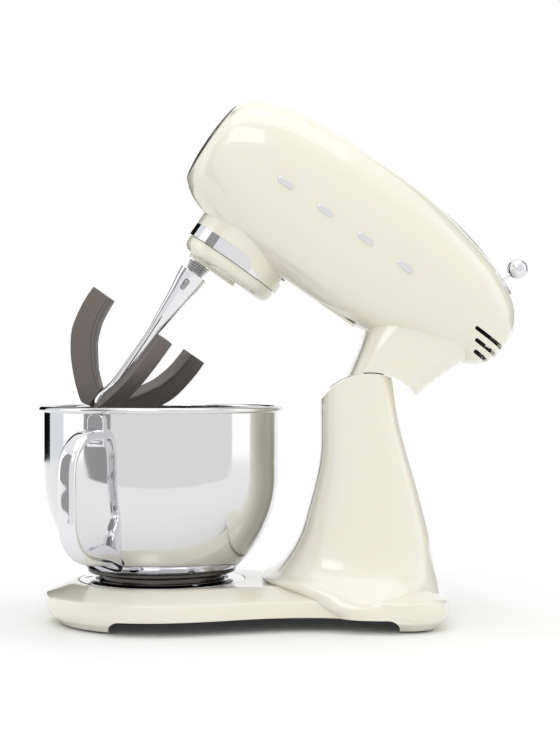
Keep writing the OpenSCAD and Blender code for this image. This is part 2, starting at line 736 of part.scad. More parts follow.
module planetary_hub() {
    color(cream) head_place() difference() {
        translate([nose_x, 0, 0]) union() {
            rotate_extrude($fn = 96) polygon(concat(
                [[0, hub_bottom_z], [hub_r - 9, hub_bottom_z]],
                arc([hub_r - 9, hub_bottom_z + 9], 9, -75, 0, 5),
                [[hub_r, hub_top_z], [0, hub_top_z]]
            ));
            for (x = [-orbit_r, 0]) translate([x, 0, hub_bottom_z - 3.2]) cylinder(r = 12.5, h = 6);
            translate([-orbit_r, -12.5, hub_bottom_z - 3.2]) cube([orbit_r, 25, 6]);
        }
        translate([nose_x - orbit_r, 0, 0]) cylinder(r = tool_shaft_r + running_gap, h = 100);
        translate([nose_x, 0, hub_bottom_z + 4]) cylinder(r = output_r, h = 40);
    }
}
module output_shaft() {
    color(steel) head_place() translate([nose_x, 0, hub_bottom_z + 4])
        cylinder(r = output_r - running_gap, h = plate_z + deck_t - hub_bottom_z - 4 + 3);
}
module main_gear() {
    color(steel) head_place() translate([nose_x, 0, first_gear_z]) difference() {
        linear_extrude(gear_h) gear_outline(main_teeth, gear_module, 0.9, 1.15, 0.2);
        translate([0, 0, -1]) cylinder(r = output_r - running_gap, h = gear_h + 2);
        for (a = [0:60:300]) rotate(a) translate([20, 0, -1]) cylinder(r = 6, h = gear_h + 2);
    }
}
module layshaft() {
    color(steel) head_place() translate([lay_x, 0, 0]) {
        translate([0, 0, deck_z]) cylinder(r = 4, h = plate_z + deck_t - deck_z);
        translate([0, 0, first_gear_z]) rotate(180 / lay_teeth) linear_extrude(gear_h)
            gear_outline(lay_teeth, gear_module, 0.9, 1.15, 0.2);
    }
}
module layshaft_gear() {
    color(steel) head_place() translate([lay_x, 0, second_gear_z]) difference() {
        linear_extrude(gear_h) gear_outline(lay_gear_teeth, gear_module, 0.9, 1.15, 0.2);
        translate([0, 0, -1]) cylinder(r = 4, h = gear_h + 2);
        for (a = [0:60:300]) rotate(a) translate([17, 0, -1]) cylinder(r = 5, h = gear_h + 2);
    }
}

// ---- motor ----
motor_z = plate_z + deck_t;
motor_top_z = motor_z + motor_h;
module motor_can() {
    color(steel) head_place() translate([motor_x, 0, motor_z]) difference() {
        tube(motor_r, motor_r - 1.5, motor_h);
        for (a = [0:45:315]) rotate(a) translate([motor_r - 5, -6, 6]) cube([10, 12, 8]);
    }
}
module motor_stator() {
    color(copper) head_place() translate([motor_x, 0, motor_z + 14]) difference() {
        cylinder(r = motor_r - 1.6, h = motor_h - 26);
        translate([0, 0, -1]) cylinder(r = motor_r - 13, h = motor_h);
        for (a = [0:90:270]) rotate(a + 45) translate([motor_r - 12, -6, -1]) cube([8, 12, motor_h]);
    }
}
module motor_end_shield() {
    color(alloy) head_place() translate([motor_x, 0, motor_top_z]) difference() {
        cylinder(r = motor_r, h = 5);
        translate([0, 0, -1]) cylinder(r = 9, h = 10);
        for (a = [30:60:330]) rotate(a) translate([motor_r * 0.6, 0, -1]) cylinder(r = 6, h = 10);
    }
}
module motor_bearings() {
    color(steel) head_place() translate([motor_x, 0, 0]) {
        translate([0, 0, plate_z]) tube(11, 4 + running_gap, deck_t);
        translate([0, 0, motor_top_z]) tube(9, 4 + running_gap, 5);
    }
}
module brush_holders() {
    color(brass) head_place() translate([motor_x, 0, motor_top_z - 9]) both_sides() {
        translate([-4, 12.5, 0]) cube([8, motor_r - 1.6 - 12.5, 6]);
    }
}
module motor_shaft() {
    color(steel) head_place() translate([motor_x, 0, 0]) {
        translate([0, 0, second_gear_z]) cylinder(r = 4, h = motor_top_z + 5 + 12 - second_gear_z);
        translate([0, 0, second_gear_z]) rotate(180 / pinion_teeth) linear_extrude(gear_h)
            gear_outline(pinion_teeth, gear_module, 0.9, 1.15, 0.2);
    }
}
module rotor_core() {
    color(copper) head_place() translate([motor_x, 0, motor_z + 14]) difference() {
        cylinder(r = motor_r - 13.8, h = motor_h - 26);
        translate([0, 0, -1]) cylinder(r = 4, h = motor_h);
        for (a = [0:30:330]) rotate(a) translate([motor_r - 17, -1.5, -1]) cube([8, 3, motor_h]);
    }
}
module commutator() {
    color(copper) head_place() translate([motor_x, 0, motor_top_z - 11]) tube(12, 4, 10);
}
module cooling_fan() {
    color(dark) head_place() translate([motor_x, 0, motor_top_z + 6.5]) difference() {
        union() {
            cylinder(r = 9, h = 9);
            cylinder(r = 32, h = 1.6);
            for (a = [0:30:330]) rotate(a) translate([8, -0.8, 0]) cube([23, 1.6, 8]);
        }
        translate([0, 0, -1]) cylinder(r = 4, h = 20);
    }
}
module control_board() {
    color([0.16, 0.36, 0.22]) head_place() translate([-46, -30, 134]) {
        cube([62, 60, 1.6]);
        translate([8, 8, 1.6]) cube([18, 14, 9]);
        translate([34, 12, 1.6]) cylinder(r = 7, h = 16);
        translate([34, 36, 1.6]) cylinder(r = 7, h = 16);
        translate([8, 34, 1.6]) cube([14, 16, 12]);
    }
}

// ---- tool shaft and beater ----
tool_x = nose_x - orbit_r;
socket_top_z = 25.5;
cross_pin_z = 15.5;
shaft_end_z = 2;
module tool_shaft() {
    color(steel) head_place() translate([tool_x, 0, 0]) {
        translate([0, 0, shaft_end_z]) cylinder(r = tool_shaft_r, h = ring_z + ring_h - shaft_end_z);
        translate([0, 0, cross_pin_z]) rod_y(2, -11, 11);
    }
}
module planet_gear() {
    color(steel) head_place() translate([tool_x, 0, ring_z + 0.5]) difference() {
        linear_extrude(ring_h - 1) gear_outline(planet_teeth, planet_module, 0.85, 1.15, 0.25);
        translate([0, 0, -1]) cylinder(r = tool_shaft_r, h = 20);
    }
}
spring_turns = 3;
spring_wire = 0.6;
spring_top_z = hub_bottom_z - 3.2 - spring_wire - 0.1;
spring_bottom_z = socket_top_z + spring_wire + 0.1;
module tool_spring() {
    rings = spring_turns * 14;
    color(steel) head_place() translate([tool_x, 0, 0]) skin([
        for (k = [0:rings])
            let (
                t = k / rings, a = -360 * spring_turns * t,
                r = t < 0.8 ? 8 : 8 + 1.6 * (t - 0.8) / 0.2,
                z = spring_bottom_z + (spring_top_z - spring_bottom_z) * t
            )
            [for (i = [0:7]) let (b = 45 * i, q = r + spring_wire * cos(b))
                [q * cos(a), q * sin(a), z + spring_wire * sin(b)]]
    ]);
}
// Lower outline of an arm: radius from the tool shaft as a share of the beater's radius, and height.
root_z = -121;
arm_out = [[0.1, -127.5], [0.225, -129], [0.36, -123], [0.49, -115.8], [0.625, -107], [0.76, -96.5],
    [0.9, -81.8], [0.965, -67], [1, -50], [1, -37]];
arm_in = [[0.1, -109.5], [0.225, -103], [0.3, -98.6], [0.36, -94.5], [0.49, -83.5], [0.56, -77],
    [0.615, -69], [0.665, -59], [0.692, -46], [0.7, -37]];
// Line along the arm, a share of the way from its outer edge to its inner edge.
function arm_line(share) = [
    for (p = smooth_rows((1 - share) * arm_out + share * arm_in, 3)) [p.x * beater_r, p.y]
];
module arm_outline(from, to, spare) {
    outer = arm_line(from);
    inner = arm_line(to);
    last = len(outer) - 1 - spare;
    polygon(concat([for (i = [0:last]) outer[i]], [for (i = [last:-1:0]) inner[i]]));
}
arm_angles = [166, 286, 46];
module each_arm() {
    for (a = arm_angles) translate([tool_x, 0, 0]) rotate(a) children();
}
module spine_solid() {
    translate([tool_x, 0, 0]) rotate_extrude($fn = 64) polygon([
        [0, root_z - 6], [5, root_z - 5], [9, root_z], [9.5, root_z + 8], [6, root_z + 18], [4.8, -96],
        [4.8, -41], [7, -25], [10, 0], [13, 16], [14.1, socket_top_z - 2], [13.6, socket_top_z],
        [0, socket_top_z]
    ]);
}
module beater_spine() {
    color(steel) head_place() difference() {
        spine_solid();
        translate([tool_x, 0, shaft_end_z - tool_lift - 0.6])
            cylinder(r = tool_shaft_r + running_gap, h = 60);
        translate([tool_x - 2.5, -30, cross_pin_z - tool_lift - 3]) cube([5, 60, tool_lift + 6]);
    }
}
core_t = 4;
module arm_core() {
    each_arm() along_y(core_t) arm_outline(0.3, 0.7, 4);
}
module beater_arms() {
    color(steel) head_place() difference() {
        arm_core();
        spine_solid();
    }
}
module beater_edges() {
    color(silicone) head_place() difference() {
        each_arm() along_y(arm_t) arm_outline(0, 1, 0);
        arm_core();
        translate([tool_x, 0, -200]) cylinder(r = beater_r * 0.19, h = 400);
    }
}

// ---- bowl ----
curve_z = 135;
curve_centre = [bowl_r - bowl_curve_r, curve_z];
floor_z = 40.3;
curve_end = -acos((foot_r + 12 - curve_centre.x) / bowl_curve_r);
rim_z = bowl_rim_z - rim_wire_r;
// Outer face of the bowl for t = 0, inner face for t equal to the sheet, from the rim to the axis.
function bowl_side(t) = concat(
    [[bowl_r - t, rim_z]],
    arc(curve_centre, bowl_curve_r - t, 0, curve_end, 14),
    smooth_rows([[foot_r + 5.5, floor_z + 5.9 + t], [foot_r - 1, floor_z + 4.3 + t],
        [foot_r - 6.5, floor_z + 1.2 + t], [foot_r - 12, floor_z + t]], 3),
    [[0, floor_z + t]]
);
module bowl_shell() {
    outer = bowl_side(0);
    inner = bowl_side(bowl_wall);
    color(chrome) stand_place() {
        rotate_extrude($fn = 96) polygon(concat(outer, [for (i = [len(inner) - 1:-1:0]) inner[i]]));
        rotate_extrude($fn = 96) translate([bowl_r + rim_wire_r - bowl_wall + 0.2, rim_z])
            circle(r = rim_wire_r, $fn = 32);
    }
}
module bowl_foot() {
    color(dark) stand_place() rotate_extrude($fn = 96) difference() {
        polygon([
            [foot_r - 5, lock_recess_z], [foot_r, lock_recess_z], [foot_r, 43.4], [foot_r + 5, 44.4],
            [foot_r + 10, 45.4], [foot_r + 10.8, 46.4], [foot_r + 10.6, 52], [foot_r - 5, 52]
        ]);
        polygon(concat(bowl_side(0), [[0, 100]]));
    }
}
handle_out = bowl_r + handle_reach;
// Outside and inside of the handle, as distance in from its outer face, and height.
module handle_outline() {
    polygon(concat(
        [[bowl_r + 0.1, 162], [bowl_r + 3, 162.4]],
        smooth_rows([[bowl_r + 8, 166.5], [handle_out - 32, 166], [handle_out - 19, 163.4],
            [handle_out - 10.5, 157], [handle_out - 7.2, 146]], 3),
        smooth_rows([[handle_out - 6.8, 109], [handle_out - 8.8, 93], [handle_out - 15, 83],
            [handle_out - 24, 77.5], [handle_out - 37, 78.5], [handle_out - 50, 79.5],
            [handle_out - 58, 76]], 3),
        [[foot_r + 12, 62], [foot_r + 12, 50]],
        smooth_rows([[handle_out - 64, 56.6], [handle_out - 56, 59.2], [handle_out - 34, 62.6],
            [handle_out - 19, 68.2], [handle_out - 7.5, 79], [handle_out - 1, 92]], 3),
        smooth_rows([[handle_out, 106], [handle_out, 142.4], [handle_out - 3, 155],
            [handle_out - 11.6, 166.8], [handle_out - 26, 175.5], [bowl_r + 8, 180]], 3),
        [[bowl_r + 3, 190], [bowl_r + 0.1, 190]]
    ));
}
module bowl_handle() {
    color(chrome) stand_place() rotate(270 - handle_angle) difference() {
        along_y(handle_w) handle_outline();
        rotate_extrude($fn = 96) polygon(concat(bowl_side(-0.05), [[0, rim_z]]));
        rotate_extrude($fn = 96) polygon([[0, 20], [foot_r + 11, 20], [foot_r + 11, 55], [0, 55]]);
    }
}

stand_casting();
base_cover();
cover_screws();
rubber_feet();
bowl_lock_plate();
lock_plate_screws();
hinge_pin();
hinge_bushes();
hinge_washers();
cord_gland();
terminal_block();
head_shell();
neck_casting();
neck_bolts();
head_bottom_cover();
front_trim_ring();
front_cover();
scale_plate();
speed_lever();
lever_ball();
lever_slider();
speed_switch();
side_trim();
vent_baffles();
release_button();
button_rod();
button_spring();
button_guide();
nose_band();
ring_gear();
lower_deck();
motor_plate();
deck_posts();
output_bearings();
layshaft_bearings();
motor_can();
motor_stator();
motor_end_shield();
motor_bearings();
brush_holders();
control_board();
planetary_hub();
output_shaft();
main_gear();
layshaft();
layshaft_gear();
motor_shaft();
rotor_core();
commutator();
cooling_fan();
tool_shaft();
planet_gear();
tool_spring();
beater_spine();
beater_arms();
beater_edges();
bowl_shell();
bowl_foot();
bowl_handle();
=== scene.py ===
# %% [markdown]
# # A tilt-head stand mixer, finished in Blender
# The mixer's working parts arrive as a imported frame: every gear, screw and casting already stands in
# its place, in metres, and rides on the body that moves it. This lesson dresses that frame. The big
# castings and the bright sheet-metal pieces are modelled again with smooth surfaces, because enamel and
# chrome show every facet. All the other parts keep their shape and get a proper finish.

# %% Load the frame
import json
import math

import bmesh
import bpy
from mathutils import Matrix, Vector


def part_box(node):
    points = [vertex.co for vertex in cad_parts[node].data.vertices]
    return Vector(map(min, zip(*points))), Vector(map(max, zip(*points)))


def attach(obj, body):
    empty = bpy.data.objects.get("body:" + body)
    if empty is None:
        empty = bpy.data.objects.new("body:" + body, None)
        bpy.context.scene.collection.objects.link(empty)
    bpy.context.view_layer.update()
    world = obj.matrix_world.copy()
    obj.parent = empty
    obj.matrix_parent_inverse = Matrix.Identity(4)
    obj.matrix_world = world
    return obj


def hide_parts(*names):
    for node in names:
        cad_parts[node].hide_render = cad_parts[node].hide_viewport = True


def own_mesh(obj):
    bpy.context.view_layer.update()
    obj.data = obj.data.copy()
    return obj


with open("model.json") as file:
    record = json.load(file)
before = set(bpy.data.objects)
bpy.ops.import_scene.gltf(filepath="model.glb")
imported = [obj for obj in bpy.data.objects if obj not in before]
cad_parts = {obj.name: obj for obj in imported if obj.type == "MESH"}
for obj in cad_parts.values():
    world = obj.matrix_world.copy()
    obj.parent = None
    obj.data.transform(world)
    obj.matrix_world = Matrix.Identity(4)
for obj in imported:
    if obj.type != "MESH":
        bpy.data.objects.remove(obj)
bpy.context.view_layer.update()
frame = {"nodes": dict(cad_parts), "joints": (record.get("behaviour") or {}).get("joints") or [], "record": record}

# %% [markdown]
# ## Where things are
# Two places drive the whole model: the hinge pin, about which the head tilts, and the axis of the bowl.
# The frame knows both, so they are read from it and never typed in. Castings of the stand are drawn
# about the bowl axis, and everything on the head is drawn level and then tilted about the pin.

# %% Driving places
MM = 0.001
joints = {j["name"]: j for j in frame["joints"]}
pin = Vector(joints["head_tilt"]["pos_m"])
open_angle = math.radians(-joints["head_tilt"]["range_deg"][0])
bowl_low, bowl_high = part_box("bowl_shell")
foot_low, foot_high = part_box("bowl_foot")
bowl_axis = Vector(((foot_low.x + foot_high.x) / 2, pin.y, 0))
STAND = Matrix.Translation(bowl_axis)
HEAD = Matrix.Translation(pin) @ Matrix.Rotation(open_angle, 4, "Y")
reach = (pin.x - bowl_axis.x) / MM
print("pin", [round(v, 4) for v in pin], "raised by", round(math.degrees(open_angle), 1), "degrees")
print("from bowl axis to pin:", round(reach, 1), "mm")

# %% [markdown]
# ## Camera first
# A level camera stands on the mixer's left, a little above the bowl's rim, with a long lens, so that the
# side view stays almost free of perspective.

# %% Camera
camera_data = bpy.data.cameras.new("camera")
camera = bpy.data.objects.new("camera", camera_data)
bpy.context.scene.collection.objects.link(camera)
bpy.context.scene.camera = camera
camera_data.lens = 76.3
camera_data.sensor_width = 36
camera_data.clip_end = 60
aside, distance, eye_height = 107.6 * MM, 1.443, 0.225
camera.location = (bowl_axis.x + aside, pin.y - distance, eye_height)
camera.rotation_euler = (math.radians(90), 0, 0)
print("camera at", [round(v, 3) for v in camera.location])

# %% [markdown]
# ## Curves and sections
# The castings are described the way a pattern maker would: a few sections, each with a width, a top and
# an underside, and a smooth curve through them. A superellipse gives each section its soft-cornered
# shape. The helpers here turn such rows into points, in millimetres.

# %% A smooth curve through rows
def between(rows, i, t):
    # a point of a curve through four neighbouring rows, from row i (t = 0) to the next (t = 1)
    a, b, c, d = (rows[max(0, min(len(rows) - 1, k))] for k in (i - 1, i, i + 1, i + 2))
    return [
        0.5 * (2 * q + (r - p) * t + (2 * p - 5 * q + 4 * r - s) * t * t
               + (3 * q - p - 3 * r + s) * t ** 3)
        for p, q, r, s in zip(a, b, c, d)
    ]


def smooth_rows(rows, steps):
    made = [between(rows, i, k / steps) for i in range(len(rows) - 1) for k in range(steps)]
    return made + [list(rows[-1])]


# %% Arcs and soft-cornered sections
def arc(cx, cy, r, start, end, steps):
    angles = [math.radians(start + (end - start) * k / steps) for k in range(steps + 1)]
    return [(cx + r * math.cos(a), cy + r * math.sin(a)) for a in angles]


def superellipse(mid_a, half_a, mid_b, half_b, square, count):
    points = []
    for k in range(count):
        angle = 2 * math.pi * (k + 0.5) / count
        c, s = math.cos(angle), math.sin(angle)
        points.append((
            mid_a + half_a * math.copysign(abs(c) ** (2 / square), c),
            mid_b + half_b * math.copysign(abs(s) ** (2 / square), s),
        ))
    return points


# %% [markdown]
# ## From points to pieces
# Three ways of shaping cover nearly every piece. A loft extrudes a ring of edges from section to
# section. A lathe spins a profile about an axis. A plate extrudes an outline and rounds its edges with a
# bevel. Each one starts from a few vertices and lets bmesh operators do the rest.

# %% Loft
def ring_of(bm, points):
    verts = [bm.verts.new(Vector(p) * MM) for p in points]
    edges = [bm.edges.new((verts[k], verts[(k + 1) % len(verts)])) for k in range(len(verts))]
    return verts, edges


def loft(rings):
    bm = bmesh.new()
    verts, edges = ring_of(bm, rings[0])
    bmesh.ops.contextual_create(bm, geom=edges)
    for ring in rings[1:]:
        made = bmesh.ops.extrude_edge_only(bm, edges=edges)["geom"]
        edges = [e for e in made if isinstance(e, bmesh.types.BMEdge)]
        new = [v for v in made if isinstance(v, bmesh.types.BMVert)]
        for vert, point in zip(new, ring):
            vert.co = Vector(point) * MM
        links = {v for e in edges for v in e.verts}
        edges = [e for e in bm.edges if e.verts[0] in links and e.verts[1] in links]
    bmesh.ops.contextual_create(bm, geom=edges)
    bmesh.ops.recalc_face_normals(bm, faces=bm.faces)
    return bm


# %% Lathe
def lathe(profile, steps=192):
    # a closed profile of (radius, height) points, turned once about the upright axis
    bm = bmesh.new()
    verts = [bm.verts.new(Vector((r, 0, z)) * MM) for r, z in profile]
    edges = [bm.edges.new(pair) for pair in zip(verts, verts[1:] + verts[:1])]
    bmesh.ops.spin(bm, geom=verts + edges, cent=(0, 0, 0), axis=(0, 0, 1), angle=2 * math.pi,
                   steps=steps, use_merge=True, use_duplicate=False)
    bmesh.ops.remove_doubles(bm, verts=bm.verts, dist=1e-6)
    bmesh.ops.dissolve_degenerate(bm, edges=bm.edges, dist=1e-7)
    bmesh.ops.delete(bm, geom=[e for e in bm.edges if not e.link_faces], context="EDGES")
    bmesh.ops.recalc_face_normals(bm, faces=bm.faces)
    return bm


# %% Plate
def plate(outline, low, high, edge=0.0):
    # an outline of (x, z) points, given thickness from y = low to y = high
    bm = bmesh.new()
    turn = sum(a[0] * b[1] - b[0] * a[1] for a, b in zip(outline, outline[1:] + outline[:1]))
    verts, edges = ring_of(bm, [(x, low, z) for x, z in (outline if turn > 0 else outline[::-1])])
    face = bmesh.ops.contextual_create(bm, geom=edges)["faces"][0]
    made = bmesh.ops.extrude_face_region(bm, geom=[face])["geom"]
    moved = [v for v in made if isinstance(v, bmesh.types.BMVert)]
    bmesh.ops.translate(bm, verts=moved, vec=(0, (high - low) * MM, 0))
    bmesh.ops.recalc_face_normals(bm, faces=bm.faces)
    if edge:
        rims = [e for e in bm.edges if abs(e.verts[0].co.y - e.verts[1].co.y) < 1e-7]
        bmesh.ops.bevel(bm, geom=rims, offset=edge * MM, affect="EDGES", segments=3,
                        profile=0.5, material=-1, clamp_overlap=True)
    return bm


# %% Blocks and rods, mostly as cutters
def block(centre, size, edge=0.0):
    bm = bmesh.new()
    bmesh.ops.create_cube(bm, size=1)
    bmesh.ops.scale(bm, vec=Vector(size) * MM, verts=bm.verts)
    bmesh.ops.translate(bm, vec=Vector(centre) * MM, verts=bm.verts)
    if edge:
        bmesh.ops.bevel(bm, geom=bm.edges[:], offset=edge * MM, affect="EDGES", segments=3,
                        profile=0.5, material=-1)
    return bm


def rod(start, end, r, steps=64):
    # a cylinder between two points
    bm = bmesh.new()
    a, b = Vector(start) * MM, Vector(end) * MM
    bmesh.ops.create_cone(bm, cap_ends=True, segments=steps, radius1=r * MM, radius2=r * MM,
                          depth=(b - a).length)
    turn = Vector((0, 0, 1)).rotation_difference(b - a).to_matrix().to_4x4()
    bmesh.ops.transform(bm, matrix=Matrix.Translation((a + b) / 2) @ turn, verts=bm.verts)
    return bm


# %% [markdown]
# ## Cutting, placing and finishing
# A bmesh becomes an object before it can be cut. The exact boolean takes a second shape out of a piece or
# joins it on, and its result is stored at once, so that no modifier is left on the piece. The last helper
# puts the place into the mesh, smooths it up to a crease angle, and tells the frame which body the piece
# rides on and which plain parts it replaces.

# %% From bmesh to object
def to_object(bm, name):
    mesh = bpy.data.meshes.new(name)
    bm.to_mesh(mesh)
    bm.free()
    made = bpy.data.objects.new(name, mesh)
    bpy.context.scene.collection.objects.link(made)
    return made


def joined(bms):
    # several bmeshes in one
    whole = bmesh.new()
    for bm in bms:
        mesh = bpy.data.meshes.new("part")
        bm.to_mesh(mesh)
        bm.free()
        whole.from_mesh(mesh)
        bpy.data.meshes.remove(mesh)
    return whole


def turned(bm, step):
    bmesh.ops.transform(bm, matrix=step, verts=bm.verts)
    return bm


def shifted(x):
    return Matrix.Translation((x * MM, 0, 0))


# %% Boolean
def boolean(piece, tool_bm, operation="DIFFERENCE"):
    tool = to_object(tool_bm, "tool")
    cut = piece.modifiers.new("cut", "BOOLEAN")
    cut.operation, cut.solver, cut.object = operation, "EXACT", tool
    bpy.context.view_layer.update()
    whole = piece.evaluated_get(bpy.context.evaluated_depsgraph_get())
    mesh = bpy.data.meshes.new_from_object(whole)
    piece.modifiers.clear()
    piece.data = mesh
    bpy.data.objects.remove(tool)
    return piece


# %% Finish a piece
def finish_piece(piece, body, material, node, place, crease):
    piece.data.transform(place)
    piece.data.shade_smooth()
    piece.data.set_sharp_from_angle(angle=math.radians(crease))
    piece.data.materials.clear()
    piece.data.materials.append(material)
    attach(piece, body)
    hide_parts(node)
    print(piece.name, "on", body, len(piece.data.polygons), "faces")
    return piece


# %% [markdown]
# ## Finishes
# Real finishes are never one flat colour. A shared node group breaks up colour and roughness with two
# sizes of noise and gives a height for the bump, and each material sets its own grain and strength. The
# enamel adds a clear glossy coat, chrome and polished steel stay almost clean, and brushed metal
# stretches the same noise along one direction.

# %% The shared surface group
def build_surface_group():
    group = bpy.data.node_groups.new("surface_detail", "ShaderNodeTree")
    face = group.interface
    face.new_socket("Colour", in_out="INPUT", socket_type="NodeSocketColor")
    for label, value in (("Variation", 0.03), ("Grain", 400.0), ("Blotch", 12.0),
                         ("Roughness", 0.3), ("Spread", 0.05), ("Stretch", 1.0)):
        face.new_socket(label, in_out="INPUT", socket_type="NodeSocketFloat").default_value = value
    face.new_socket("Colour", in_out="OUTPUT", socket_type="NodeSocketColor")
    face.new_socket("Roughness", in_out="OUTPUT", socket_type="NodeSocketFloat")
    face.new_socket("Height", in_out="OUTPUT", socket_type="NodeSocketFloat")
    nodes, links = group.nodes, group.links
    source, sink = nodes.new("NodeGroupInput"), nodes.new("NodeGroupOutput")
    coords = nodes.new("ShaderNodeTexCoord")
    stretch = nodes.new("ShaderNodeCombineXYZ")
    stretch.inputs["X"].default_value = 1
    stretch.inputs["Y"].default_value = 1
    links.new(source.outputs["Stretch"], stretch.inputs["Z"])
    scaled = nodes.new("ShaderNodeVectorMath")
    scaled.operation = "MULTIPLY"
    links.new(coords.outputs["Object"], scaled.inputs[0])
    links.new(stretch.outputs["Vector"], scaled.inputs[1])
    fine, broad = nodes.new("ShaderNodeTexNoise"), nodes.new("ShaderNodeTexNoise")
    fine.inputs["Detail"].default_value = 4
    broad.inputs["Detail"].default_value = 3
    for noise, scale in ((fine, "Grain"), (broad, "Blotch")):
        links.new(scaled.outputs["Vector"], noise.inputs["Vector"])
        links.new(source.outputs[scale], noise.inputs["Scale"])
    both = nodes.new("ShaderNodeMath")
    both.operation = "ADD"
    links.new(fine.outputs["Fac"], both.inputs[0])
    links.new(broad.outputs["Fac"], both.inputs[1])
    centred = nodes.new("ShaderNodeMath")
    centred.operation = "SUBTRACT"
    centred.inputs[1].default_value = 1.0
    links.new(both.outputs[0], centred.inputs[0])
    shade = nodes.new("ShaderNodeMath")
    shade.operation = "MULTIPLY_ADD"
    shade.inputs[2].default_value = 1.0
    links.new(centred.outputs[0], shade.inputs[0])
    links.new(source.outputs["Variation"], shade.inputs[1])
    tint = nodes.new("ShaderNodeVectorMath")
    tint.operation = "SCALE"
    links.new(source.outputs["Colour"], tint.inputs[0])
    links.new(shade.outputs[0], tint.inputs["Scale"])
    rough = nodes.new("ShaderNodeMath")
    rough.operation = "MULTIPLY_ADD"
    links.new(centred.outputs[0], rough.inputs[0])
    links.new(source.outputs["Spread"], rough.inputs[1])
    links.new(source.outputs["Roughness"], rough.inputs[2])
    links.new(tint.outputs["Vector"], sink.inputs["Colour"])
    links.new(rough.outputs[0], sink.inputs["Roughness"])
    links.new(fine.outputs["Fac"], sink.inputs["Height"])
    return group


surface_group = build_surface_group()


# %% A finish from the group
def finish(name, colour, roughness, metallic=0.0, variation=0.03, grain=400, blotch=12, spread=0.05,
           stretch=1.0, bump=0.02, coat=0.0, coat_roughness=0.04):
    material = bpy.data.materials.new(name)
    material.use_nodes = True
    nodes, links = material.node_tree.nodes, material.node_tree.links
    shader = nodes["Principled BSDF"]
    detail = nodes.new("ShaderNodeGroup")
    detail.node_tree = surface_group
    detail.inputs["Colour"].default_value = (*colour, 1)
    for label, value in (("Variation", variation), ("Grain", grain), ("Blotch", blotch),
                         ("Roughness", roughness), ("Spread", spread), ("Stretch", stretch)):
        detail.inputs[label].default_value = value
    height = nodes.new("ShaderNodeBump")
    height.inputs["Strength"].default_value = bump
    height.inputs["Distance"].default_value = 0.2 * MM
    links.new(detail.outputs["Height"], height.inputs["Height"])
    links.new(height.outputs["Normal"], shader.inputs["Normal"])
    links.new(detail.outputs["Colour"], shader.inputs["Base Color"])
    links.new(detail.outputs["Roughness"], shader.inputs["Roughness"])
    shader.inputs["Metallic"].default_value = metallic
    shader.inputs["Coat Weight"].default_value = coat
    shader.inputs["Coat Roughness"].default_value = coat_roughness
    return material


# %% Enamel and bright metals
enamel = finish("cream_enamel", (0.81, 0.786, 0.663), 0.2, variation=0.015, grain=900, blotch=6,
                bump=0.03, coat=1.0, coat_roughness=0.03)
chrome = finish("bright_chrome", (0.80, 0.80, 0.82), 0.05, metallic=1.0, variation=0.02, grain=700,
                blotch=9, spread=0.03, bump=0.01)
polished = finish("polished_steel", (0.74, 0.74, 0.75), 0.07, metallic=1.0, variation=0.03, grain=500,
                  blotch=7, spread=0.04, bump=0.01)
# bright steel with its colour painted nearly black: painted shade, for the seam ring round the front cover and the
# foot under the bowl
chrome_painted_dark_for_shade = finish("steel_painted_dark_for_shade", (0.085, 0.08, 0.075), 0.14, metallic=1.0, variation=0.05,
                     grain=500, blotch=7, spread=0.04, bump=0.01)

# %% Plain metals
steel = finish("machined_steel", (0.45, 0.45, 0.46), 0.28, metallic=1.0, variation=0.08, grain=1500,
               stretch=0.05, spread=0.12, bump=0.15)
brushed = finish("brushed_plate", (0.66, 0.66, 0.67), 0.3, metallic=1.0, variation=0.1, grain=2500,
                 stretch=0.03, spread=0.15, bump=0.2)
alloy = finish("die_cast_alloy", (0.5, 0.5, 0.51), 0.5, metallic=1.0, variation=0.12, grain=1200,
               bump=0.35)
brass = finish("machined_brass", (0.62, 0.44, 0.18), 0.3, metallic=1.0, variation=0.1, grain=1400,
               bump=0.1)
copper = finish("enamelled_copper", (0.5, 0.2, 0.09), 0.35, metallic=0.8, variation=0.3, grain=2500,
                stretch=6, bump=0.4)

# %% Plastics, rubber and silicone
black = finish("black_plastic", (0.016, 0.016, 0.016), 0.5, variation=0.3, grain=1800, spread=0.15,
               bump=0.2)
board = finish("printed_board", (0.02, 0.12, 0.05), 0.45, variation=0.3, grain=900, bump=0.1)
rubber = finish("black_rubber", (0.022, 0.022, 0.022), 0.75, variation=0.3, grain=1600, bump=0.3)
silicone = finish("grey_silicone", (0.135, 0.118, 0.108), 0.42, variation=0.08, grain=900, spread=0.1,
                  bump=0.12)
print("materials:", len(bpy.data.materials))

# %% [markdown]
# ## Finishes for the parts as they come
# Every frame node gets its finish from the material slot that the record gives it, so a screw is
# machined steel wherever it sits. The ring round the front cover is the one exception: its chrome is
# painted dark, a painted shade that draws a thin line between the two enamelled pieces.

# %% Give each node its finish
by_slot = {
    "cream_paint": enamel, "chrome": chrome, "polished_steel": polished, "steel": steel, "alloy": alloy,
    "brass": brass, "copper": copper, "black_plastic": black, "board": board, "rubber": rubber,
    "silicone": silicone, "brushed_plate": brushed,
}
for part in frame["record"]["subparts"]:
    node = frame["nodes"][part["node"]]
    if not node.data.materials:
        node.data.materials.append(None)
    for k in range(len(node.material_slots)):
        node.material_slots[k].material = by_slot[part["material_slot"]]
# the ring's chrome is painted dark: a painted shade line between the front cover and the head
frame["nodes"]["front_trim_ring"].material_slots[0].material = chrome_painted_dark_for_shade
print("finishes:", len(by_slot))

# %% [markdown]
# ## The stand casting
# On the real mixer the base and the column are one die casting, with a deep flare where they meet. The
# base is lofted through thin slices of its own outline, the column through superellipses, and a boolean
# joins them. The round top of the column is cut to the hinge's own radius, so the neck can roll over it.

# %% Base outline and slices
front_r, waist, rear_w, tail = 105, 75.5, 91, 68  # half widths, and the length behind the pin
rear_x, corner_r = reach + tail, 36
narrow_x = 140  # the narrowest place, just in front of the column


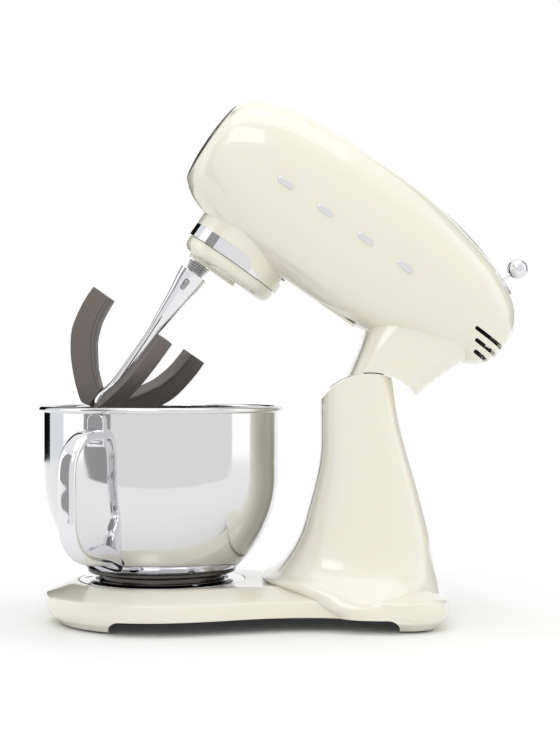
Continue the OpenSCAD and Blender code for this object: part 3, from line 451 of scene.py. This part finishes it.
def base_half(x):
    if x < narrow_x:
        return waist + (front_r - waist) * (1 + math.cos(math.pi * x / narrow_x)) / 2
    share = (x - narrow_x) / (rear_x - corner_r - narrow_x)
    return waist + (rear_w - waist) * (1 - math.cos(math.pi * share)) / 2


def base_outline(inset):
    side = arc(0, 0, front_r - inset, 180, 92, 36)
    side += [(x, base_half(x) - inset) for x in [(rear_x - corner_r) * k / 28 for k in range(1, 28)]]
    side += arc(rear_x - corner_r, rear_w - corner_r, corner_r - inset, 84, 0, 20)
    return [(x, -y) for x, y in side] + [(x, y) for x, y in reversed(side[1:])]


# %% Base body
base_top = 37.8
base_rows = [[2, 12], [3.5, 10.5], [6, 7.5], [9, 3.2], [13, 0.4], [19, 0], [25, 0.4], [27.5, 1.8],
             [30.5, 8], [34.5, 17.8], [37.2, 25], [base_top, 28.5]]
stand = to_object(loft([[(x, y, z) for x, y in base_outline(inset)]
                        for z, inset in smooth_rows(base_rows, 3)]), "stand_casting_smooth")
print("base outline:", len(base_outline(0)), "points")

# %% Column
column_rows = [
    [10, -38, tail - 1, rear_w - 0.5, 3.4], [14, -42, tail - 1, rear_w - 1, 3.4],
    [22, -58, tail - 1.6, rear_w - 2.5, 3.2],
    [30, -72, tail - 3, rear_w - 8, 3], [40, -96, tail - 4.5, rear_w - 17, 2.8],
    [48, -84, tail - 6.5, rear_w - 24, 2.9], [60, -73, tail - 9, 61, 3.1],
    [80, -61.5, tail - 12.5, 57, 3.4], [105, -54, tail - 19, 55, 3.7], [130, -47.5, tail - 26, 54, 4],
    [155, -43.6, tail - 33.5, 54, 4.2], [185, -43.4, tail - 41, 54, 4.2],
    [226, -43.4, tail - 47.5, 54, 4.2],
]


def column_ring(row):
    z, front, back, half, square = row
    outline = superellipse(reach + (front + back) / 2, (back - front) / 2, 0, half, square, 160)
    return [(x, y, z) for x, y in outline]


boolean(stand, loft([column_ring(r) for r in smooth_rows(column_rows, 6)]), "UNION")
pin_z = pin.z / MM
cap_r = 50.5
over_cap = arc(reach, pin_z, cap_r, 0, 180, 96)
over_cap += [(reach - 60, pin_z), (reach - 60, 300), (reach + 60, 300), (reach + 60, pin_z)]
boolean(stand, plate(over_cap, -90, 90))
print("column sections:", len(column_rows))

# %% Openings of the stand
arch_r, arch_front, arch_rear = 10, -40, rear_x - 44
arch = [(arch_front, -2)] + arc(arch_front + arch_r, 2.5, arch_r, 180, 90, 12) + [(90, 13.5)]
arch += arc(arch_rear - arch_r, 2.5, arch_r, 90, 0, 12) + [(arch_rear, -2)]
boolean(stand, plate(arch, -130, 130))
base_wall, hollow_top = 16, 13.4
boolean(stand, loft([[(x, y, z) for x, y in base_outline(base_wall)] for z in (-1, hollow_top)]))
tongue_angle, tongue_room = 119, 12.5
tongue = [(reach, pin_z)] + arc(reach, pin_z, 70, tongue_angle - math.degrees(open_angle) - tongue_room,
                                tongue_angle + tongue_room, 24)
boolean(stand, plate(tongue, -16, 16))

# %% Seat of the lock plate
plate_r = max(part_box("bowl_lock_plate")[1].x - bowl_axis.x, 0.05) / MM
boolean(stand, lathe([(0, 34), (plate_r + 0.4, 34), (plate_r + 0.4, 60), (0, 60)], steps=128))
finish_piece(stand, "stand", enamel, "stand_casting", place=STAND, crease=28)

# %% [markdown]
# ## The head shell
# The head is one long casting, fullest in the middle and drawn in towards both ends. Its sections run
# from the flat front, where the cover sits, back to the release button. The wall is real: a second,
# smaller loft is taken out of the first, so the slots and the windows look into a dark, hollow head.

# %% Head sections
cover_mid_z, cover_r = 132.7, 40
head_rows = [
    [1, -77, cover_mid_z + cover_r + 0.8, cover_mid_z - cover_r - 0.8, cover_r + 1.8, 2.1],
    [1, -76.2, 175.6, 89.8, 45, 2.15], [1, -74.4, 178, 88.2, 48, 2.2],
    [1, -69, 184, 84, 54, 2.35], [1, -59, 190, 79, 58, 2.5], [1, -32, 198.4, 71.5, 61.8, 2.8],
    [1, 5, 202.8, 66.6, 63.5, 3], [0.75, 2, 204.4, 65, 64, 3.1], [0.5, 4, 204, 65.8, 63.7, 3.1],
    [0.25, 0, 199, 72.6, 61, 3], [0, 0, 188.9, 86.4, 55, 2.8], [0, 20, 182.4, 93, 49.5, 2.6],
    [0, 36.5, 173.8, 98, 43, 2.5], [0, 46, 166.5, 103.6, 37, 2.4], [0, 52.6, 158, 110.5, 30, 2.3],
    [0, 56, 152.6, 118.4, 20, 2.1],
]
head_stations = smooth_rows(head_rows, 6)


def head_ring(row, inset=0.0):
    share, offset, top, under, half, square = row
    outline = superellipse(0, half - inset, (top + under) / 2, (top - under) / 2 - inset, square, 192)
    return [(offset - share * reach, y, z) for y, z in outline]


def head_half(x):
    # half width of the head at a place along it
    return min(head_stations, key=lambda r: abs(r[1] - r[0] * reach - x))[4]


head = to_object(loft([head_ring(r) for r in head_stations]), "head_shell_smooth")
print("head stations:", len(head_stations))

# %% Nose, its window and the hollow
nose_x, nose_r, nose_z, band_top = -reach, 47.9, 52.9, 64.8
nose = to_object(lathe([(0, nose_z), (nose_r - 0.5, nose_z), (nose_r, nose_z + 0.5), (nose_r, 96), (0, 96)]),
                 "nose")
window = [(-60, nose_z - 2), (-60, band_top)] + arc(6, nose_z, band_top - nose_z, 90, 30, 16)
window += [(20.5, nose_z + 5), (25.5, nose_z + 2.6), (29.5, nose_z - 2)]
boolean(nose, plate(window, -70, 70))
nose_form = bmesh.new()
nose_form.from_mesh(nose.data)
bpy.data.objects.remove(nose)
boolean(head, turned(nose_form, shifted(nose_x)), "UNION")
head_wall = 3
boolean(head, loft([head_ring(r, head_wall) for r in head_stations[12:-8]]))

# %% Openings of the head
bore_r, bore_top = nose_r - 3.4, 94.9
bore = lathe([(0, nose_z - 3), (bore_r, nose_z - 3), (bore_r, bore_top), (0, bore_top)])
boolean(head, turned(bore, shifted(nose_x)))
boolean(head, rod((nose_x - 100, 0, cover_mid_z), (nose_x - 60, 0, cover_mid_z), cover_r - 2.9, 128))
button_z, button_hole_r = 135.5, 16.5
boolean(head, rod((40, 0, button_z), (80, 0, button_z), button_hole_r, 96))

# %% Slots for air
vent_h = 3.6
for z, start, end in ((128.6, 23.7, 52), (120.1, 30, 52.4), (111.7, 35.6, 50.4)):
    slot = arc(start + vent_h / 2, z, vent_h / 2, 90, 270, 12)
    slot += [(end + 4, z - vent_h / 2), (end + 4, z + vent_h / 2)]
    for low, high in ((-70, -14), (14, 70)):
        boolean(head, plate(slot, low, high))

# %% Seat and slot for the speed scale, and the opening underneath
centre_x, centre_z, scale_r, lever_angle, travel = -88, -91, 293.4, 68, 15


def scale_band(r, t, w, start, end):
    outline = arc(centre_x, centre_z, r, start, end, 32)
    outline += arc(centre_x, centre_z, r + t, end, start, 32)
    return plate(outline, -w / 2, w / 2)


boolean(head, scale_band(scale_r, 12, 22.4, lever_angle - 3.2, lever_angle + travel + 4.2))
boolean(head, scale_band(scale_r - 30, 40, 5, lever_angle - 0.8, lever_angle + travel + 0.8))
hatch_centre, hatch_size = (-102.8, 0, 67), (78.1, 64.6, 10)
boolean(head, block(hatch_centre, hatch_size))
finish_piece(head, "head", enamel, "head_shell", place=HEAD, crease=30)

# %% [markdown]
# ## The neck
# The neck hangs under the back of the head and rolls over the round top of the column. It is lofted
# like the head. The head's own form and the column's cap are then taken out of it, which leaves the
# same thin gap all round that the real casting shows. A tongue reaches down between the column's
# cheeks.

# %% Neck casting
neck_rows = [[22, -41.5, 12, 53, 4.2], [30, -43.5, 14, 53, 4.2], [52, -48, 18.7, 52.5, 4],
             [73, -53.5, 25.5, 51, 3.6], [98, -56.5, 34.7, 48, 3.2], [118, -58, 42, 45, 3]]


def neck_ring(row):
    z, front, back, half, square = row
    outline = superellipse((front + back) / 2, (back - front) / 2, 0, half, square, 160)
    return [(x, y, z) for x, y in outline]


neck = to_object(loft([neck_ring(r) for r in smooth_rows(neck_rows, 8)]), "neck_casting_smooth")
boolean(neck, loft([head_ring(r, 0.05) for r in head_stations]))
boolean(neck, rod((0, -100, 0), (0, 100, 0), cap_r + 1, 192))

# %% The neck's tongue, which takes the pin
boolean(neck, rod((0, -15, 0), (0, 15, 0), 16, 96), "UNION")
tongue_turn = Matrix.Rotation(math.radians(-tongue_angle), 4, "Y")
boolean(neck, turned(block((33, 0, 0), (46, 28, 18), 1.5), tongue_turn), "UNION")
finish_piece(neck, "head", enamel, "neck_casting", place=HEAD, crease=30)

# %% [markdown]
# ## The bowl
# A spun steel bowl is a body of revolution, so it is made as it is in the factory: one profile, turned
# about its axis. The straight upper wall runs into a wide curve, a shallow step seats the foot, and the
# edge is rolled over a wire. Fine steps keep the long vertical reflections clean.

# %% Bowl profile
bowl_r, wall, curve_r, curve_z, foot_r = 106.5, 1.2, 115, 135, 56.5
floor_z, rim_r = 40.3, 2.7
rim_z = bowl_high.z / MM - rim_r
curve_end = -math.degrees(math.acos((foot_r + 12 - (bowl_r - curve_r)) / curve_r))


def bowl_side(t):
    side = [(bowl_r - t, rim_z)] + arc(bowl_r - curve_r, curve_z, curve_r - t, 0, curve_end, 40)
    side += smooth_rows([[foot_r + 5.5, floor_z + 5.9 + t], [foot_r - 1, floor_z + 4.3 + t],
                         [foot_r - 6.5, floor_z + 1.2 + t], [foot_r - 12, floor_z + t]], 5)
    return side + [(0, floor_z + t)]


print("bowl profile:", len(bowl_side(0)), "points")

# %% Bowl shell and rolled edge
sheet = lathe(bowl_side(0) + bowl_side(wall)[::-1], steps=256)
wire_x = bowl_r + rim_r - wall + 0.2
rolled = lathe([(wire_x + x, z) for x, z in arc(0, rim_z, rim_r, 0, 345, 23)], steps=256)
finish_piece(to_object(joined([sheet, rolled]), "bowl_shell_smooth"), "bowl", polished,
             "bowl_shell", place=STAND, crease=40)

# %% [markdown]
# ## Foot and lock plate
# Under the bowl a bright-turned foot, painted dark as painted shade under the bowl, drops into a ring
# on the base. Both are lathe work as well, with small rounded edges that catch a thin line of light.

# %% Bowl foot
foot = [(foot_r - 5, 34), (foot_r - 0.6, 34), (foot_r, 34.6), (foot_r, 43), (foot_r + 0.8, 43.6),
        (foot_r + 5, 44.4), (foot_r + 9.6, 45.3), (foot_r + 10.6, 46), (foot_r + 10.9, 47.2),
        (foot_r + 10.6, 48.4), (foot_r + 6, 46.4), (foot_r - 1, 44.2), (foot_r - 5, 42)]
# the foot's bright steel is painted dark: painted shade under the bowl
finish_piece(to_object(lathe(foot, steps=256), "bowl_foot_smooth"), "bowl", chrome_painted_dark_for_shade,
             "bowl_foot", place=STAND, crease=40)

# %% Lock plate
ring_in, ring_out = foot_r + 3.5, plate_r
ring = [(ring_in, 34), (ring_out, 34), (ring_out, base_top - 0.8), (ring_out - 0.4, base_top - 0.1),
        (ring_out - 1.2, base_top + 0.3), (ring_in + 4, base_top + 1.5), (ring_in + 1.6, base_top + 1.7),
        (ring_in + 0.4, base_top + 1.2), (ring_in, base_top + 0.2)]
lock_plate = to_object(lathe(ring, steps=256), "bowl_lock_plate_smooth")
pocket_at, pocket_r, pocket_floor = foot_r + 10.5, 3.6, base_top - 1.6
for bearing in (60, 180, 300):
    spot = Vector((math.cos(math.radians(bearing)), math.sin(math.radians(bearing)), 0)) * pocket_at
    boolean(lock_plate, rod((spot.x, spot.y, pocket_floor), (spot.x, spot.y, 60), pocket_r, 48))
finish_piece(lock_plate, "stand", chrome, "bowl_lock_plate", place=STAND, crease=40)

# %% [markdown]
# ## The handle
# The handle is a cast strap, as wide as a finger is thick, and soft at every edge. It is lofted: each row
# gives the outer and the inner side of the strap at one place, and a superellipse between the two is the
# section there. A tab with round corners joins it below the rim, and the bowl's own form is cut away
# where the strap lands, so that it seems welded on.

# %% Handle sections
out, handle_w = bowl_r + 48.5, 17
strap_rows = [
    [bowl_r - 4, 176.5, bowl_r - 4, 163.5], [bowl_r + 8, 177.6, bowl_r + 8, 166.4],
    [out - 24, 175, out - 29, 166.2], [out - 11.6, 167.2, out - 18, 161.6], [out - 3, 156, out - 10, 152.6],
    [out, 142.4, out - 7.2, 142.4], [out, 124.2, out - 7.2, 124.2], [out, 106, out - 7.2, 106],
    [out - 1, 92, out - 8.8, 94.5], [out - 7.5, 79, out - 14.5, 84], [out - 19, 68.2, out - 24, 77.6],
    [out - 34, 62.6, out - 37, 78.5], [out - 54, 59.4, out - 50, 79.5], [out - 64, 56.6, out - 58, 78],
    [foot_r + 20, 52, foot_r + 30, 74],
]


def strap_ring(row):
    outer, inner = Vector((row[0], 0, row[1])), Vector((row[2], 0, row[3]))
    middle, across = (outer + inner) / 2, (outer - inner) / 2
    return [tuple(middle + across * a + Vector((0, b * handle_w / 2, 0)))
            for a, b in superellipse(0, 1, 0, 1, 2.9, 72)]


print("handle rows:", len(strap_rows))

# %% Bowl handle
handle = to_object(loft([strap_ring(r) for r in smooth_rows(strap_rows, 7)]), "bowl_handle_smooth")
corner, tab_mid, tab_low = 6, 184, 162
tab = arc(handle_w / 2 - corner, tab_mid, corner, 0, 90, 8)
tab += arc(corner - handle_w / 2, tab_mid, corner, 90, 180, 8)
tab += [(-handle_w / 2, tab_low), (handle_w / 2, tab_low)]
upright = Matrix.Rotation(math.radians(90), 4, "Z")
boolean(handle, turned(plate(tab, -bowl_r - 3.2, -bowl_r + 4, edge=0.9), upright), "UNION")
boolean(handle, lathe(bowl_side(-0.05) + [(0, rim_z)], steps=192))
# the strap points to the mixer's left, a little towards the front
handle_turn = Matrix.Rotation(math.radians(270 - 27), 4, "Z")
finish_piece(handle, "bowl", chrome, "bowl_handle", place=STAND @ handle_turn, crease=50)

# %% [markdown]
# ## The flexible-edge beater
# Three flat arms of stiff steel are wrapped in grey silicone and stand out from a bright spine. Each
# edge is a plate with a groove along its inner side, where the silicone is folded over the steel core.
# The spine is lofted with three soft lobes, so its reflections break into long facets.

# %% Arm lines
tool_x, beater_r, arm_t = nose_x - 24, 70, 13
arm_out = [[0.1, -127.5], [0.225, -129], [0.36, -123], [0.49, -115.8], [0.625, -107], [0.76, -96.5],
           [0.9, -81.8], [0.965, -67], [1, -50], [1, -37]]
arm_in = [[0.1, -109.5], [0.225, -103], [0.3, -98.6], [0.36, -94.5], [0.49, -83.5], [0.56, -77],
          [0.615, -69], [0.665, -59], [0.692, -46], [0.7, -37]]


def arm_line(share):
    rows = [[(1 - share) * a + share * b for a, b in zip(p, q)] for p, q in zip(arm_out, arm_in)]
    return [(r * beater_r, z) for r, z in smooth_rows(rows, 6)]


print("arm line:", len(arm_line(0)), "points")

# %% Beater edges
groove = 0.5
arms = []
for bearing in (166, 286, 46):
    arm = to_object(plate(arm_line(0) + arm_line(1)[::-1], -arm_t / 2, arm_t / 2, edge=0.9), "arm")
    fold = arm_line(0.84) + arm_line(0.88)[::-1]
    for low, high in ((-arm_t / 2 - 1, groove - arm_t / 2), (arm_t / 2 - groove, arm_t / 2 + 1)):
        boolean(arm, plate(fold, low, high))
    boolean(arm, rod((0, 0, -200), (0, 0, 0), 9.2, 64))
    shape = bmesh.new()
    shape.from_mesh(arm.data)
    arms.append(turned(shape, Matrix.Rotation(math.radians(bearing), 4, "Z")))
    bpy.data.objects.remove(arm)
finish_piece(to_object(joined(arms), "beater_edges_smooth"), "beater", silicone,
             "beater_edges", place=HEAD @ shifted(tool_x), crease=30)

# %% Spine sections: height, radius and depth of the lobes
spine_rows = [[-127, 4, 0], [-126, 5.5, 0], [-121, 9, 0], [-113, 9.3, 0], [-103, 6.2, 0.02],
              [-90, 4.9, 0.05], [-60, 4.8, 0.08], [-41, 5, 0.1], [-25, 7, 0.11], [0, 9.9, 0.11],
              [14, 12.4, 0.1], [22, 13.4, 0.08], [25.5, 13.7, 0.07]]


def spine_ring(row):
    z, r, lobe = row
    ring = []
    for k in range(120):
        angle = 2 * math.pi * k / 120
        swell = r * (1 + lobe * math.cos(3 * angle + 0.6)) / (1 + lobe * 0.4)
        ring.append((swell * math.cos(angle), swell * math.sin(angle), z))
    return ring


# %% Beater spine, with the bore and the slot for the shaft and its cross pin
spine = to_object(loft([spine_ring(r) for r in smooth_rows(spine_rows, 5)]), "beater_spine_smooth")
boolean(spine, rod((0, 0, -3.6), (0, 0, 60), 6.05, 96))
boolean(spine, lathe([(0, 17), (8.6, 17), (11.6, 27), (0, 27)], steps=96))
boolean(spine, block((0, 0, 12.5), (5, 60, 11), 2))
finish_piece(spine, "beater", chrome, "beater_spine", place=HEAD @ shifted(tool_x),
             crease=40)

# %% [markdown]
# ## The tool spring
# A short conical spring round the tool shaft pushes the beater down. A spring is a curve with a round
# bevel: a loop lays out its turns, and the curve becomes a mesh before it is placed. It shortens as the
# beater is pushed up.

# %% Tool spring
turns, spring_low, spring_high, wire_r = 4, 26.6, 35.0, 0.75
coil = bpy.data.curves.new("tool_spring_smooth", "CURVE")
coil.dimensions, coil.bevel_depth, coil.bevel_resolution = "3D", wire_r * MM, 4
coil.use_fill_caps = True
line = coil.splines.new("POLY")
count = turns * 40
line.points.add(count)
for k, point in enumerate(line.points):
    share = k / count
    angle = 2 * math.pi * turns * share
    r = 7.6 + 2.2 * share
    z = spring_low + (spring_high - spring_low) * share
    point.co = (r * math.cos(angle) * MM, r * math.sin(angle) * MM, z * MM, 1)
wire = bpy.data.objects.new("tool_spring_curve", coil)
bpy.context.scene.collection.objects.link(wire)
spring_mesh = bpy.data.meshes.new_from_object(wire.evaluated_get(bpy.context.evaluated_depsgraph_get()))
bpy.data.objects.remove(wire)
spring = bpy.data.objects.new("tool_spring_smooth", spring_mesh)
bpy.context.scene.collection.objects.link(spring)

# %% Place the spring and give it a mesh of its own
finish_piece(spring, "tool_drive", steel, "tool_spring", place=HEAD @ shifted(tool_x), crease=60)
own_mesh(spring)

# %% [markdown]
# ## Side bars
# Four short bright bars decorate each side of the head. They are small plates with round ends and a
# soft edge, set a little way into the enamel.

# %% Side bars
bar_half, bar_r, bar_z, sunk, proud = 5.5, 2.5, 135, 1.4, 1.2
bars = []
for share in (-0.99, -0.765, -0.535, -0.31):
    x = share * reach
    outline = arc(x + bar_half, bar_z, bar_r, -90, 90, 12) + arc(x - bar_half, bar_z, bar_r, 90, 270, 12)
    inside, outside = head_half(x) - sunk, head_half(x) + proud
    bars += [plate(outline, low, high, edge=0.7) for low, high in ((-outside, -inside), (inside, outside))]
finish_piece(to_object(joined(bars), "side_trim_smooth"), "head", chrome, "side_trim",
             place=HEAD, crease=40)

# %% [markdown]
# ## The studio
# A pale floor, a white surround and large soft panels. Chrome only looks like chrome when it has
# something to reflect, so tall cards stand around the mixer: white ones at both sides, grey ones beside
# them and a black one behind, all outside the picture.

# %% Stage material
def stage_material(name, colour, strength=0.0, tint=(1, 1, 1)):
    material = bpy.data.materials.new(name)
    material.use_nodes = True
    shader = material.node_tree.nodes["Principled BSDF"]
    shader.inputs["Base Color"].default_value = (*colour, 1)
    shader.inputs["Roughness"].default_value = 0.9
    shader.inputs["Specular IOR Level"].default_value = 0.1
    shader.inputs["Emission Color"].default_value = (*tint, 1)
    shader.inputs["Emission Strength"].default_value = strength
    return material


# %% [markdown]
# ## A floor that melts into the white
# Close to the mixer the floor is plain white paint, so the mixer's soft shadow falls on it. Further out
# the paint turns black and glows instead, which no shadow can darken, so no edge shows behind.

# %% Floor
def fading(nodes, links, length, near, far, socket):
    # a value that goes from near to far between the edge of the shadow and the glowing part
    fade = nodes.new("ShaderNodeMapRange")
    fade.inputs["From Min"].default_value, fade.inputs["From Max"].default_value = 0.22, 0.6
    fade.inputs["To Min"].default_value, fade.inputs["To Max"].default_value = near, far
    links.new(length.outputs["Value"], fade.inputs["Value"])
    links.new(fade.outputs["Result"], socket)


def floor_sheet():
    bm = bmesh.new()
    bmesh.ops.create_grid(bm, x_segments=1, y_segments=1, size=6)
    bmesh.ops.translate(bm, vec=(0, 5.3, 0), verts=bm.verts)
    made = to_object(bm, "floor")
    material = stage_material("floor_white", (0.9, 0.9, 0.9))
    nodes, links = material.node_tree.nodes, material.node_tree.links
    place = nodes.new("ShaderNodeTexCoord")
    length = nodes.new("ShaderNodeVectorMath")
    length.operation = "LENGTH"
    links.new(place.outputs["Object"], length.inputs[0])
    shader = nodes["Principled BSDF"]
    fading(nodes, links, length, 0.02, 1.0, shader.inputs["Emission Strength"])
    fading(nodes, links, length, 0.9, 0.02, shader.inputs["Base Color"])
    made.data.materials.append(material)


floor_sheet()
print("floor laid")

# %% Cards
card_radius, card_low, card_height = 2.6, -1.6, 4.2


def card(name, start, end, level, tint=(1, 1, 1)):
    # a curved card round the bowl, from one bearing to another, measured from the camera's side
    bm = bmesh.new()
    points = [(math.sin(math.radians(start + (end - start) * k / 8)),
               -math.cos(math.radians(start + (end - start) * k / 8))) for k in range(9)]
    verts = [bm.verts.new((bowl_axis.x + card_radius * x, bowl_axis.y + card_radius * y, card_low))
             for x, y in points]
    edges = [bm.edges.new(pair) for pair in zip(verts, verts[1:])]
    made = bmesh.ops.extrude_edge_only(bm, edges=edges)["geom"]
    upper = [v for v in made if isinstance(v, bmesh.types.BMVert)]
    bmesh.ops.translate(bm, vec=(0, 0, card_height), verts=upper)
    made = to_object(bm, name)
    made.data.materials.append(stage_material(name + "_paint", (0, 0, 0), level, tint))


card("card_front", -45, 74, 0.9)
card("card_grey_left", -75, -45, 0.36)
card("card_white_left", -104, -75, 1.35)
card("card_pale_left", -133, -104, 0.95, tint=(0.93, 0.96, 1))
card("card_black", -163, -133, 0.0)
card("card_white_right", 74, 104, 1.35)
card("card_grey_right", 104, 147, 0.34)

# %% Light
def softbox(name, place, aim, width, height, power):
    data = bpy.data.lights.new(name, "AREA")
    data.shape, data.size, data.size_y, data.energy = "RECTANGLE", width, height, power
    made = bpy.data.objects.new(name, data)
    bpy.context.scene.collection.objects.link(made)
    made.location = place
    made.rotation_euler = (Vector(aim) - Vector(place)).to_track_quat("-Z", "Y").to_euler()


target = (0, 0, 0.2)
softbox("top_light", (0, -0.3, 2.4), target, 2.4, 1.8, 12)
softbox("front_light", (-0.7, -2.2, 1.9), target, 1.2, 1.2, 10)

# %% Surround
world = bpy.data.worlds.new("surround")
bpy.context.scene.world = world
world.use_nodes = True
world.node_tree.nodes["Background"].inputs["Color"].default_value = (1, 1, 1, 1)
world.node_tree.nodes["Background"].inputs["Strength"].default_value = 1.0
bpy.context.scene.view_settings.view_transform = "Standard"
print("lights:", len(bpy.data.lights))
